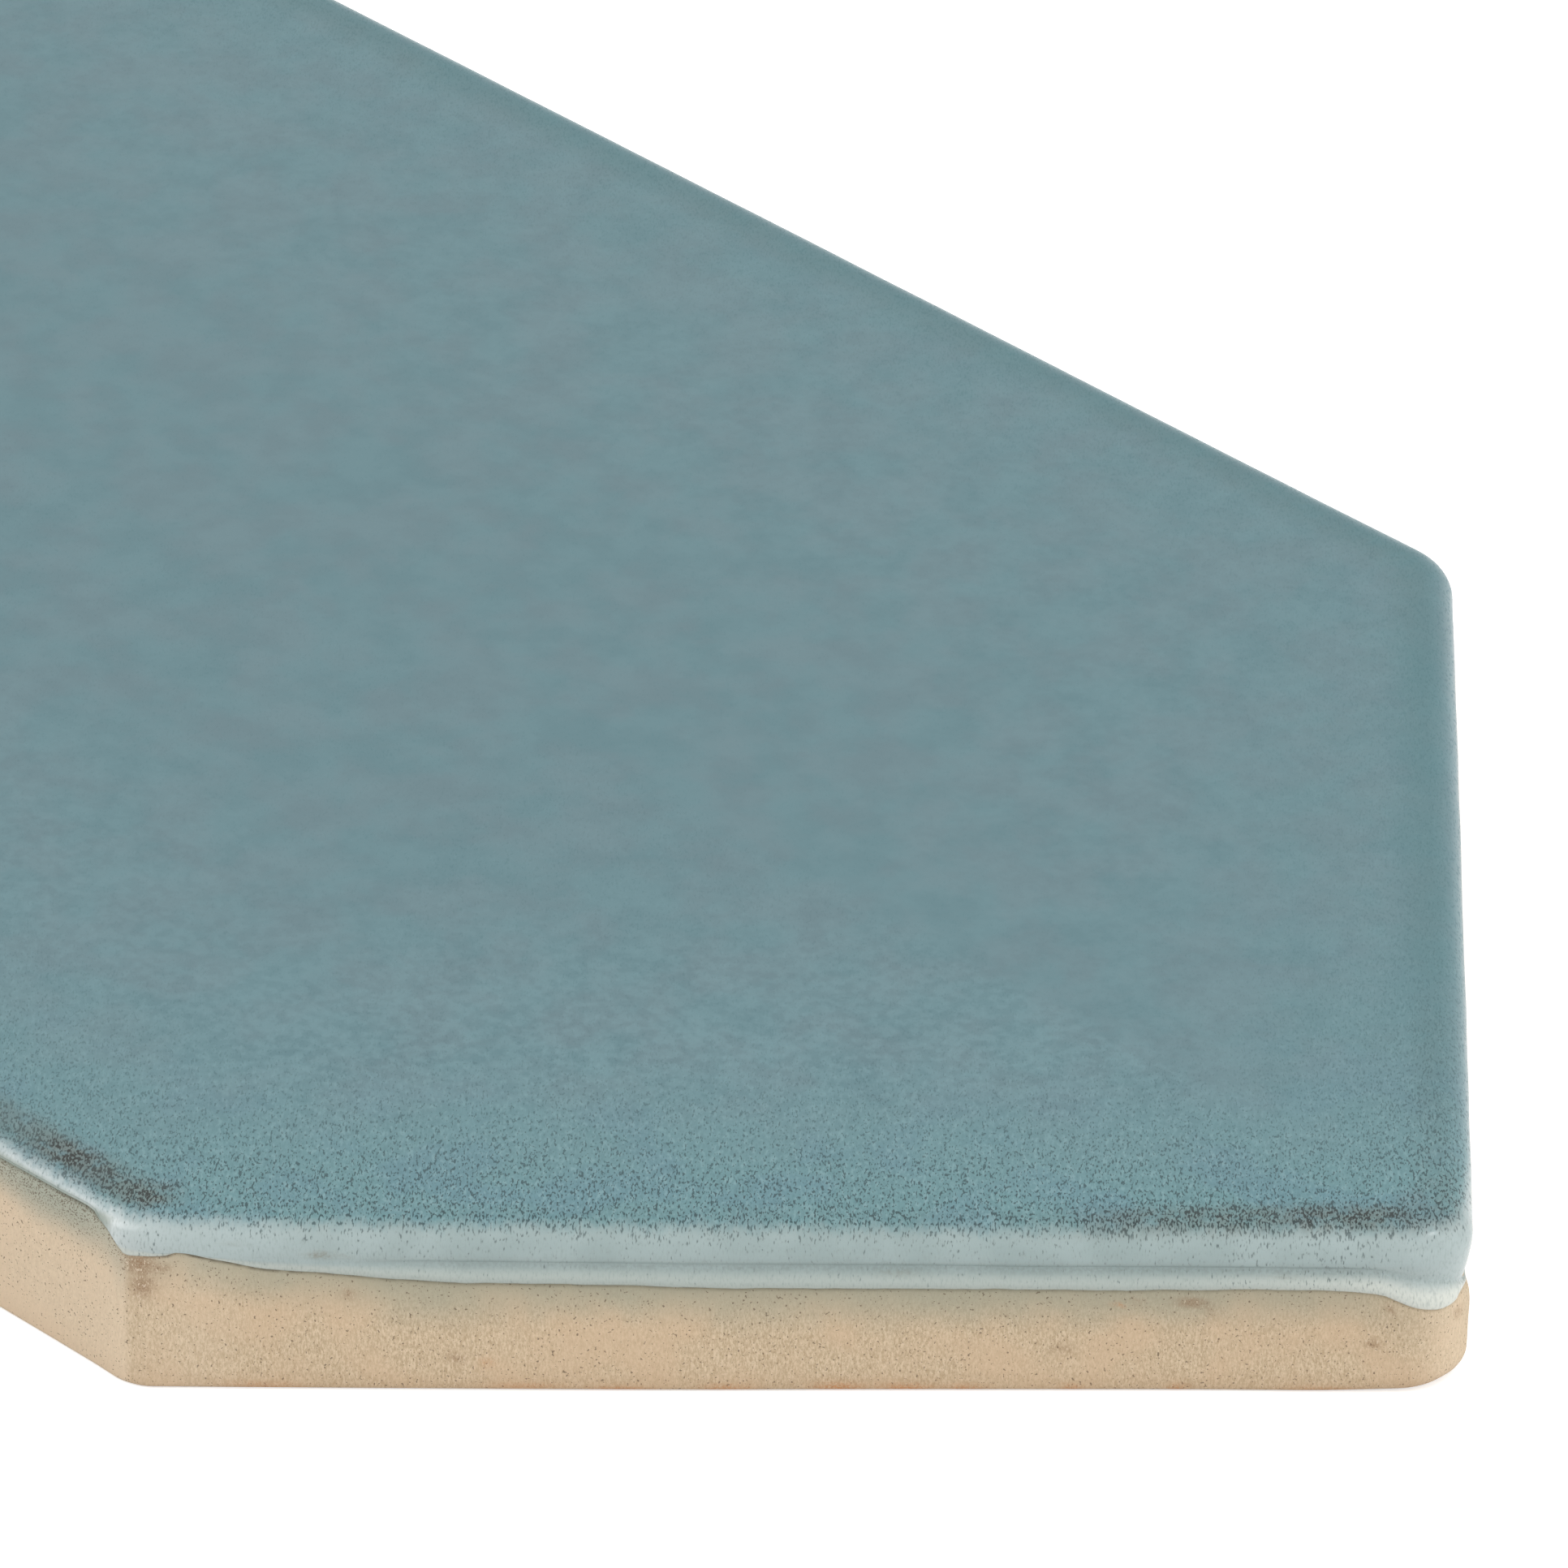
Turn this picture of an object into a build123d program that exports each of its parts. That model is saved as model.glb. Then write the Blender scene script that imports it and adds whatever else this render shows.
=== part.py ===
"""A picket wall tile: one pressed, glazed and fired piece of clay, lying on its back.

Millimetres and degrees. The origin is the middle of the back's plane, +X runs to one tip,
+Y to one long side and +Z out of the glazed face.
"""

import os
from math import radians, sin, sqrt, tan

from build123d import *

# Plan: a long hexagon with two pointed ends
tile_length = 304.0  # tip to tip, over the rounded tips
tile_width = 76.0  # across the long sides
tip_angle = 90.0  # between the two edges that meet at a tip
tip_radius = 2.7
shoulder_radius = 4.0  # where a tip edge meets a long side

# Section: a foot of bare clay, a shallow waist, and the roll of glaze over the face's edge
tile_thickness = 7.5
rim_radius = 1.3  # the glaze rolls over the edge of the face
rim_land = 0.1  # upright strip between the roll and the waist
waist_round = 0.6  # radius of the hollow under the roll
waist_depth = 0.25
foot_draft = 1.0  # the pressed clay narrows towards the back
arris_radius = 0.3  # the back's worn outer edge

# Key back: long ribs that hold the bedding mortar, inside an unbroken border
back_border = 6.0
rib_width = 3.0
groove_width = 5.0
groove_depth = 0.6

# Places that follow from the sizes above
half_tip_angle = radians(tip_angle / 2)
half_width = tile_width / 2
sharp_tip_x = tile_length / 2 + tip_radius * (1 / sin(half_tip_angle) - 1)
shoulder_x = sharp_tip_x - half_width / tan(half_tip_angle)

waist_offset = waist_round - waist_depth  # the hollow's centre stands this far outside the flank
waist_half_height = sqrt(waist_round**2 - waist_offset**2)
waist_height = tile_thickness - rim_radius - rim_land - waist_half_height

groove_pitch = groove_width + rib_width
groove_count = int((tile_width - 2 * back_border + rib_width) // groove_pitch)

corners = [
    (sharp_tip_x, 0),
    (shoulder_x, half_width),
    (-shoulder_x, half_width),
    (-sharp_tip_x, 0),
    (-shoulder_x, -half_width),
    (shoulder_x, -half_width),
]
corner_radii = [tip_radius, shoulder_radius, shoulder_radius] * 2

# The plan at its widest, which is at the waist
with BuildSketch(Plane.XY.offset(waist_height)) as plan:
    with BuildLine():
        FilletPolyline(*corners, radius=corner_radii, close=True)
    make_face()

# The middle of the waist's hollow runs just outside the plan
with BuildLine() as waist:
    offset(plan.sketch.face().outer_wire(), amount=waist_offset)

with BuildPart() as tile:
    # The foot narrows downwards from the waist
    extrude(plan.sketch, amount=-waist_height)
    flanks = tile.faces().filter_by(Axis.Z, reverse=True)
    draft(flanks, Plane.XY.offset(waist_height), -foot_draft)

    # The glazed head stands upright above the waist, and both outer edges are rounded
    extrude(plan.sketch, amount=tile_thickness - waist_height)
    fillet(tile.faces().sort_by(Axis.Z)[-1].edges(), rim_radius)
    fillet(tile.faces().sort_by(Axis.Z)[0].edges(), arris_radius)

    # The waist runs all the way round under the roll
    with BuildSketch(Plane(waist.line @ 0, z_dir=waist.line % 0)):
        Circle(waist_round)
    sweep(path=waist.wire(), mode=Mode.SUBTRACT)

    # The key back
    with BuildSketch():
        with GridLocations(0, groove_pitch, 1, groove_count):
            Rectangle(tile_length, groove_width)
        offset(plan.sketch_local.face(), amount=-back_border, mode=Mode.INTERSECT)
    extrude(amount=groove_depth, mode=Mode.SUBTRACT)

tile.part.label = "picket_tile"

os.makedirs("parts", exist_ok=True)
export_step(tile.part, "parts/picket_tile.step")
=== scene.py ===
"""A picket tile as it leaves the kiln: a buff clay body under a speckled blue-grey glaze.

The glaze rolls over the edge of the face, breaks to pale blue-white there, and runs down the
four tip edges in a folded lip. Lengths are in millimetres, apart from the floor's and the
lights', which are in metres.
"""

from math import ceil, cos, pi, radians, sin, sqrt, tan

import bpy
import numpy as np
from mathutils import Matrix, Vector, noise
from mathutils.geometry import delaunay_2d_cdt


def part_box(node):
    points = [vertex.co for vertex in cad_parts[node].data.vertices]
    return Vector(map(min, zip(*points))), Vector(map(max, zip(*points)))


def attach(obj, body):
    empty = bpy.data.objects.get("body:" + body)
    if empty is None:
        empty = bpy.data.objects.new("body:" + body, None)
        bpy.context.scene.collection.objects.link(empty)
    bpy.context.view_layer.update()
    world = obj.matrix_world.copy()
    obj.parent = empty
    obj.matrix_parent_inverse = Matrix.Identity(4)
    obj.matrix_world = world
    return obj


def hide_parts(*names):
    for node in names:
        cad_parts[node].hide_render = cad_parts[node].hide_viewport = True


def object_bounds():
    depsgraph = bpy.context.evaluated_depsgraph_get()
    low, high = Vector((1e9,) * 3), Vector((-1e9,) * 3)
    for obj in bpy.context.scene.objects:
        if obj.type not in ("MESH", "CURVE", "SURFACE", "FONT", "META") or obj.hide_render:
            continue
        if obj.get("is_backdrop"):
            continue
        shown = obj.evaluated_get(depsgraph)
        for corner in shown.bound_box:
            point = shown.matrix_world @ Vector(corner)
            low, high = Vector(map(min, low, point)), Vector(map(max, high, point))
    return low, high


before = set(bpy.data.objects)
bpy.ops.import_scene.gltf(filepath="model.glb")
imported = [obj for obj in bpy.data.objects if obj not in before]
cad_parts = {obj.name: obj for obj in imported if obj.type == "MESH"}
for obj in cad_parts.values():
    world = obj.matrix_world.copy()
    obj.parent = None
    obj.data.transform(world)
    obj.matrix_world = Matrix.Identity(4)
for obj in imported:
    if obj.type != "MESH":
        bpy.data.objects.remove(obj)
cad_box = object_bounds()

MM = 0.001
TILE = "picket_tile"

# The tile's plan and section
low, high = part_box(TILE)
tile_length, tile_width, tile_thickness = [(h - l) / MM for l, h in zip(low, high)]
tip_radius = 2.7
shoulder_radius = 4.0  # of the glazed head
clay_shoulder_radius = 2.0  # the bare clay's corner under it is sharper
half_width = tile_width / 2
sharp_tip_x = tile_length / 2 + tip_radius * (sqrt(2) - 1)  # the tips are square
shoulder_x = sharp_tip_x - half_width
waist_height = 5.61
foot_draft = radians(1.0)

# The key back
back_border = 6.0
rib_width = 3.0
groove_width = 5.0
groove_depth = 0.6
groove_draft = 0.2  # the groove's floor is this much narrower on each side
groove_count = 8

# The glaze
glaze_thickness = 0.4
lip_round = 0.28  # height of the rounded bottom of the lip
skin_depth = 0.4  # the glaze's hidden inner wall lies this far inside the outline
hidden_inset = 0.9  # where that wall meets the underside of the face
seat_lap = 0.05  # the clay's hidden top reaches this far into the glaze
roll_gap = 0.08  # the roll of the rim ends this far above the hem
high_hem = 6.6  # a hem above this height has hardly run down

# Fineness of the meshes
glaze_step = 0.4
clay_step = 0.3
face_grid = 1.5
back_grid = 4.0
ring_inset = 1.65  # the rings of the rim end here and the face's own grid begins
flat_inset = 1.5  # the face is flat up to here
rim_rings = 17
fold_rings = 8
lip_rings = 7
lip_round_rings = 6
flank_rings = 22
arris_rings = 8
groove_points = 61  # along each side of a groove

# The edges, anticlockwise from the +X tip
RIGHT, FAR, FAR_LEFT, NEAR_LEFT, NEAR, FRONT = range(6)

# Height of the glaze's lower hem: (edge, share of the edge, height)
hem_knots = [
    (FRONT, 0.009, 6.06),
    (FRONT, 0.022, 6.14),
    (FRONT, 0.031, 6.22),
    (FRONT, 0.041, 6.42),
    (FRONT, 0.045, 6.32),
    (FRONT, 0.055, 6.18),
    (FRONT, 0.071, 5.96),
    (FRONT, 0.104, 5.58),
    (FRONT, 0.16, 5.36),
    (FRONT, 0.25, 5.0),
    (FRONT, 0.4, 4.87),
    (FRONT, 0.6, 4.84),
    (FRONT, 0.75, 4.9),
    (FRONT, 0.905, 4.98),
    (FRONT, 0.94, 4.8),
    (FRONT, 0.959, 4.38),
    (FRONT, 0.969, 4.14),
    (FRONT, 0.98, 3.96),
    (FRONT, 0.992, 3.88),
    (RIGHT, 0.003, 3.92),
    (RIGHT, 0.013, 4.1),
    (RIGHT, 0.03, 4.05),
    (RIGHT, 0.2, 3.95),
    (RIGHT, 0.45, 4.7),
    (RIGHT, 0.8, 4.9),
    (RIGHT, 0.95, 5.7),
    (FAR, 0.0, 6.2),
    (FAR, 0.02, 6.5),
    (FAR, 0.5, 6.4),
    (FAR, 0.98, 6.5),
    (FAR_LEFT, 0.0, 6.1),
    (FAR_LEFT, 0.06, 5.6),
    (FAR_LEFT, 0.2, 4.95),
    (FAR_LEFT, 0.6, 4.7),
    (FAR_LEFT, 0.93, 4.4),
    (NEAR_LEFT, 0.0, 3.7),
    (NEAR_LEFT, 0.05, 4.3),
    (NEAR_LEFT, 0.3, 4.8),
    (NEAR_LEFT, 0.75, 4.6),
    (NEAR_LEFT, 0.93, 5.6),
    (NEAR, 0.0, 6.5),
    (NEAR, 0.02, 7.2),
    (NEAR, 0.5, 7.25),
    (NEAR, 0.965, 7.22),
    (NEAR, 0.98, 7.26),
    (NEAR, 0.9905, 7.3),
    (NEAR, 0.993, 7.14),
    (NEAR, 0.995, 6.98),
    (NEAR, 0.9966, 6.7),
    (NEAR, 0.9976, 6.36),
    (NEAR, 0.9986, 6.06),
    (NEAR, 0.9994, 5.98),
]

# The fold above the lip: (edge, share of the edge, height, depth)
fold_knots = [
    (FRONT, 0.0, 6.45, 0.0),
    (FRONT, 0.14, 6.0, 0.0),
    (FRONT, 0.24, 5.98, 0.14),
    (FRONT, 0.45, 5.92, 0.16),
    (FRONT, 0.7, 5.92, 0.18),
    (FRONT, 0.8, 6.02, 0.18),
    (FRONT, 0.9, 6.13, 0.18),
    (FRONT, 0.94, 5.86, 0.17),
    (FRONT, 0.965, 5.58, 0.16),
    (FRONT, 0.98, 5.38, 0.17),
    (RIGHT, 0.0, 5.05, 0.2),
    (RIGHT, 0.012, 4.7, 0.26),
    (RIGHT, 0.025, 4.35, 0.34),
    (RIGHT, 0.04, 4.2, 0.38),
    (RIGHT, 0.2, 4.1, 0.36),
    (RIGHT, 0.45, 5.6, 0.24),
    (RIGHT, 0.8, 5.8, 0.2),
    (RIGHT, 0.93, 6.1, 0.0),
    (FAR, 0.0, 6.8, 0.0),
    (FAR, 0.5, 7.0, 0.0),
    (FAR_LEFT, 0.0, 6.6, 0.0),
    (FAR_LEFT, 0.12, 5.9, 0.0),
    (FAR_LEFT, 0.25, 5.8, 0.22),
    (FAR_LEFT, 0.9, 5.7, 0.24),
    (NEAR_LEFT, 0.0, 4.8, 0.3),
    (NEAR_LEFT, 0.1, 5.6, 0.24),
    (NEAR_LEFT, 0.7, 5.75, 0.2),
    (NEAR_LEFT, 0.88, 6.0, 0.0),
    (NEAR, 0.0, 6.8, 0.0),
    (NEAR, 0.5, 7.4, 0.0),
]

# A shallow wrinkle above the fold: (edge, share of the edge, height, depth)
wrinkle_knots = [
    (FRONT, 0.5, 6.2, 0.0),
    (FRONT, 0.92, 6.7, 0.0),
    (FRONT, 0.965, 6.76, 0.03),
    (FRONT, 0.985, 6.8, 0.07),
    (RIGHT, 0.005, 6.88, 0.06),
    (RIGHT, 0.02, 6.95, 0.0),
    (FAR, 0.5, 6.6, 0.0),
    (FAR_LEFT, 0.93, 6.2, 0.0),
    (FAR_LEFT, 0.98, 6.3, 0.1),
    (NEAR_LEFT, 0.02, 6.5, 0.08),
    (NEAR_LEFT, 0.06, 6.5, 0.0),
    (NEAR, 0.5, 6.6, 0.0),
]

# The lip: (edge, share of the edge, thickness, how far the clay just under it stands back)
lip_knots = [
    (FRONT, 0.0, 0.03, 0.06),
    (FRONT, 0.12, 0.1, 0.12),
    (FRONT, 0.25, 0.2, 0.12),
    (FRONT, 0.97, 0.19, 0.12),
    (RIGHT, 0.0, 0.14, 0.14),
    (RIGHT, 0.012, 0.07, 0.2),
    (RIGHT, 0.025, 0.02, 0.26),
    (RIGHT, 0.035, 0.02, 0.26),
    (RIGHT, 0.055, 0.02, 0.04),
    (RIGHT, 0.2, 0.02, 0.04),
    (RIGHT, 0.45, 0.18, 0.12),
    (RIGHT, 0.8, 0.2, 0.12),
    (FAR, 0.0, 0.04, 0.05),
    (FAR_LEFT, 0.0, 0.04, 0.05),
    (FAR_LEFT, 0.25, 0.2, 0.12),
    (NEAR_LEFT, 0.7, 0.2, 0.12),
    (NEAR, 0.0, 0.03, 0.05),
    (NEAR, 0.99, 0.03, 0.05),
]

# How far the clay's flank stands in: (edge, share of the edge, under the hem, at the foot)
flank_knots = [
    (FRONT, 0.0, 0.0, -0.2),
    (FRONT, 0.018, 0.0, -0.3),
    (FRONT, 0.04, 0.0, -0.3),
    (FRONT, 0.3, 0.0, -0.27),
    (FRONT, 0.42, 0.0, -0.22),
    (FRONT, 0.53, 0.0, -0.11),
    (FRONT, 0.68, 0.0, 0.01),
    (FRONT, 0.83, 0.0, 0.1),
    (FRONT, 0.93, 0.0, 0.1),
    (RIGHT, 0.0, -0.07, 0.06),
    (RIGHT, 0.03, -0.07, 0.06),
    (RIGHT, 0.055, 0.22, 0.24),
    (RIGHT, 0.2, 0.28, 0.3),
    (RIGHT, 0.5, 0.04, 0.1),
    (RIGHT, 0.96, 0.0, 0.0),
    (FAR, 0.01, 0.0, -0.05),
    (FAR, 0.99, 0.0, -0.05),
    (FAR_LEFT, 0.04, 0.0, 0.0),
    (FAR_LEFT, 0.5, 0.06, 0.06),
    (NEAR_LEFT, 0.5, 0.1, 0.1),
    (NEAR_LEFT, 0.96, 0.0, 0.0),
    (NEAR, 0.01, 0.0, -0.08),
    (NEAR, 0.97, 0.0, -0.1),
    (NEAR, 0.991, 0.0, -0.12),
    (NEAR, 0.9957, 0.0, -0.16),
]

# Radius of the back's worn outer edge: (edge, share of the edge, radius)
arris_knots = [
    (FRONT, 0.0, 0.3),
    (FRONT, 0.88, 0.3),
    (FRONT, 0.95, 0.55),
    (FRONT, 0.98, 0.85),
    (RIGHT, 0.0, 1.0),
    (RIGHT, 0.03, 0.95),
    (RIGHT, 0.1, 0.6),
    (RIGHT, 0.2, 0.3),
    (FAR_LEFT, 0.9, 0.3),
    (NEAR_LEFT, 0.0, 0.9),
    (NEAR_LEFT, 0.1, 0.3),
]

# Radius of the rounded edge of the face: (edge, share of the edge, radius)
rim_knots = [
    (FRONT, 0.0, 0.95),
    (FRONT, 0.08, 1.3),
    (RIGHT, 0.9, 1.3),
    (FAR, 0.02, 1.42),
    (FAR, 0.25, 1.25),
    (FAR, 0.98, 1.25),
    (FAR_LEFT, 0.1, 1.3),
    (NEAR_LEFT, 0.9, 1.3),
    (NEAR, 0.05, 0.8),
    (NEAR, 0.993, 0.8),
]

# Brown scorch inside the rim: (edge, share of the edge, strength, distance from the edge)
scorch_knots = [
    (NEAR, 0.0, 0.7, 2.3),
    (NEAR, 0.08, 0.2, 2.2),
    (NEAR, 0.4, 0.3, 2.2),
    (NEAR, 0.8, 0.3, 2.2),
    (NEAR, 0.93, 0.6, 2.1),
    (NEAR, 0.985, 0.85, 2.1),
    (FRONT, 0.0, 1.0, 2.3),
    (FRONT, 0.022, 1.0, 2.8),
    (FRONT, 0.045, 0.0, 2.6),
    (FRONT, 0.15, 0.05, 1.1),
    (FRONT, 0.45, 0.1, 1.0),
    (FRONT, 0.68, 0.12, 0.9),
    (FRONT, 0.77, 0.6, 1.2),
    (FRONT, 0.86, 0.9, 1.4),
    (FRONT, 0.935, 1.0, 1.5),
    (FRONT, 0.96, 0.65, 1.5),
    (RIGHT, 0.0, 0.35, 1.1),
    (RIGHT, 0.06, 0.25, 1.3),
    (RIGHT, 0.3, 0.1, 1.3),
    (RIGHT, 0.8, 0.05, 1.4),
    (FAR, 0.0, 0.1, 1.9),
    (FAR, 0.5, 0.1, 2.2),
    (FAR_LEFT, 0.0, 0.6, 1.8),
    (FAR_LEFT, 0.3, 0.1, 1.0),
    (FAR_LEFT, 0.8, 0.6, 1.0),
    (NEAR_LEFT, 0.1, 0.5, 1.1),
    (NEAR_LEFT, 0.5, 0.1, 1.0),
]

# How much further in the pale rim begins: (edge, share of the edge, distance)
pale_knots = [
    (FRONT, 0.0, 0.45),
    (FRONT, 0.15, 0.25),
    (FRONT, 0.3, 0.2),
    (FRONT, 0.66, 0.2),
    (FRONT, 0.78, 0.35),
    (FRONT, 0.95, 0.45),
    (RIGHT, 0.0, 0.3),
    (RIGHT, 0.04, -0.3),
    (RIGHT, 0.15, -1.4),
    (RIGHT, 0.95, -1.7),
    (FAR, 0.02, -1.5),
    (FAR, 0.98, -1.5),
    (FAR_LEFT, 0.1, -0.2),
    (FAR_LEFT, 0.5, 0.0),
    (NEAR_LEFT, 0.5, 0.2),
    (NEAR, 0.02, 0.3),
    (NEAR, 0.99, 0.3),
]

# How white the glaze breaks, partly a painted highlight along the near rim and partly painted light on
# the lip at the tips: (edge, share of the edge, on the rim, on the lip)
white_and_lit_knots = [
    (FRONT, 0.0, 0.45, 0.5),
    (FRONT, 0.04, 0.25, 0.4),
    (FRONT, 0.12, 0.12, 0.25),
    (FRONT, 0.3, 0.03, 0.08),
    (FRONT, 0.75, 0.0, 0.1),
    (FRONT, 0.9, 0.05, 0.35),
    (FRONT, 0.96, 0.15, 0.7),
    (RIGHT, 0.0, 0.2, 0.85),
    (RIGHT, 0.1, 0.15, 0.7),
    (RIGHT, 0.5, 0.0, 0.3),
    (FAR, 0.0, 0.3, 0.3),
    (FAR_LEFT, 0.0, 0.3, 0.3),
    (FAR_LEFT, 0.5, 0.0, 0.2),
    (NEAR_LEFT, 0.0, 0.3, 0.9),
    (NEAR_LEFT, 0.5, 0.0, 0.2),
    (NEAR, 0.0, 0.8, 0.3),
    (NEAR, 0.5, 0.8, 0.25),
    (NEAR, 0.98, 0.85, 0.3),
    (NEAR, 0.994, 1.0, 0.7),
]

# How strongly the specks show: (edge, share of the edge, strength)
speck_knots = [
    (FRONT, 0.02, 1.0),
    (FRONT, 0.5, 1.0),
    (RIGHT, 0.05, 0.95),
    (RIGHT, 0.22, 0.4),
    (RIGHT, 0.45, 0.15),
    (FAR, 0.02, 0.1),
    (FAR, 0.98, 0.3),
    (FAR_LEFT, 0.3, 0.9),
    (NEAR_LEFT, 0.5, 1.0),
    (NEAR, 0.5, 0.5),
    (NEAR, 0.93, 0.5),
    (NEAR, 0.985, 0.85),
]

# Under the hem: (edge, share of the edge, how far the fumes tint the clay, how dark the line close under
# the hem is)
fume_knots = [
    (FRONT, 0.0, 0.5, 0.3),
    (FRONT, 0.03, 0.6, 0.7),
    (FRONT, 0.05, 0.7, 0.9),
    (FRONT, 0.1, 0.8, 0.7),
    (FRONT, 0.2, 0.85, 0.3),
    (FRONT, 0.6, 0.85, 0.25),
    (FRONT, 0.9, 0.75, 0.2),
    (FRONT, 0.97, 0.2, 0.25),
    (RIGHT, 0.0, 0.1, 0.15),
    (RIGHT, 0.1, 0.4, 0.1),
    (RIGHT, 0.5, 0.8, 0.3),
    (FAR, 0.5, 0.7, 0.3),
    (FAR_LEFT, 0.5, 0.8, 0.3),
    (NEAR_LEFT, 0.5, 0.8, 0.3),
    (NEAR, 0.5, 0.9, 0.2),
    (NEAR, 0.975, 0.95, 0.2),
    (NEAR, 0.991, 0.95, 0.5),
    (NEAR, 0.996, 0.8, 0.5),
]

# How much paler the clay is painted where light falls strongly on it, on the long flanks and at the tips
# (painted light), which also thickens the flecks in the fumes there: (edge, share of the edge, strength)
painted_light_fleck_knots = [
    (FRONT, 0.003, 0.2),
    (FRONT, 0.05, 0.3),
    (FRONT, 0.1, 0.0),
    (FRONT, 0.96, 0.0),
    (FRONT, 0.985, 0.45),
    (RIGHT, 0.0, 0.7),
    (RIGHT, 0.06, 0.4),
    (RIGHT, 0.2, 0.0),
    (RIGHT, 0.97, 0.0),
    (FAR, 0.004, 1.0),
    (FAR, 0.996, 1.0),
    (FAR_LEFT, 0.03, 0.0),
    (NEAR_LEFT, 0.97, 0.0),
    (NEAR, 0.004, 1.0),
    (NEAR, 0.9992, 1.0),
]

# Stains on the flank: (edge, share of the edge, height, half length, half height, strength)
glaze_stains = [
    (FRONT, 0.08, 6.75, 0.5, 0.06, 0.4),
    (FRONT, 0.146, 6.32, 0.5, 0.15, 1.0),
    (FRONT, 0.165, 6.25, 0.2, 0.1, 0.6),
    (FRONT, 0.58, 5.62, 0.8, 0.12, 0.4),
    (FRONT, 0.87, 5.6, 0.6, 0.12, 0.3),
    (FAR_LEFT, 0.7, 5.9, 0.7, 0.15, 0.5),
    (NEAR_LEFT, 0.4, 5.7, 0.6, 0.12, 0.4),
]
brown_stains = [
    (FRONT, 0.01, 5.75, 0.7, 0.5, 1.0),
    (FRONT, 0.012, 4.85, 0.5, 0.55, 0.9),
    (FRONT, 0.028, 5.65, 0.3, 0.2, 0.8),
    (FRONT, 0.119, 1.7, 0.12, 0.14, 0.8),
    (FRONT, 0.167, 4.5, 0.25, 0.18, 0.8),
    (FRONT, 0.247, 1.6, 0.35, 0.2, 0.7),
    (FRONT, 0.704, 2.1, 0.5, 0.25, 0.4),
    (FRONT, 0.76, 4.4, 0.15, 0.2, 0.6),
    (FRONT, 0.8, 4.35, 0.6, 0.2, 1.0),
    (FRONT, 0.815, 4.0, 0.2, 0.4, 0.4),
    (FRONT, 0.936, 2.4, 0.25, 0.2, 1.0),
    (FRONT, 0.949, 4.1, 0.14, 0.14, 0.9),
    (RIGHT, 0.008, 3.3, 0.3, 0.25, 0.5),
    (FAR_LEFT, 0.3, 4.3, 0.4, 0.4, 0.6),
    (NEAR_LEFT, 0.6, 3.9, 0.5, 0.3, 0.6),
]
orange_stains = [
    (FRONT, 0.1, 0.2, 1.5, 0.2, 0.5),
    (FRONT, 0.27, 1.4, 0.3, 0.2, 0.5),
    (FRONT, 0.3, 0.25, 1.6, 0.2, 0.5),
    (FRONT, 0.37, 0.12, 1.2, 0.15, 0.9),
    (FRONT, 0.45, 0.15, 1.0, 0.2, 0.8),
    (FRONT, 0.535, 0.15, 1.0, 0.3, 1.0),
    (FRONT, 0.585, 0.15, 1.2, 0.25, 0.9),
    (FRONT, 0.63, 0.15, 0.8, 0.2, 0.8),
    (FRONT, 0.71, 0.15, 0.4, 0.2, 0.8),
    (FRONT, 0.745, 4.25, 0.2, 0.08, 0.8),
    (FRONT, 0.79, 0.15, 0.4, 0.25, 0.8),
    (FRONT, 0.9, 0.15, 1.5, 0.15, 0.6),
    (NEAR, 0.9, 0.2, 3.0, 0.2, 0.6),
    (NEAR_LEFT, 0.5, 0.2, 3.0, 0.2, 0.6),
    (FAR_LEFT, 0.4, 0.2, 4.0, 0.2, 0.6),
    (FAR, 0.4, 0.2, 5.0, 0.2, 0.6),
    (RIGHT, 0.5, 0.2, 3.0, 0.2, 0.6),
]


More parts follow.
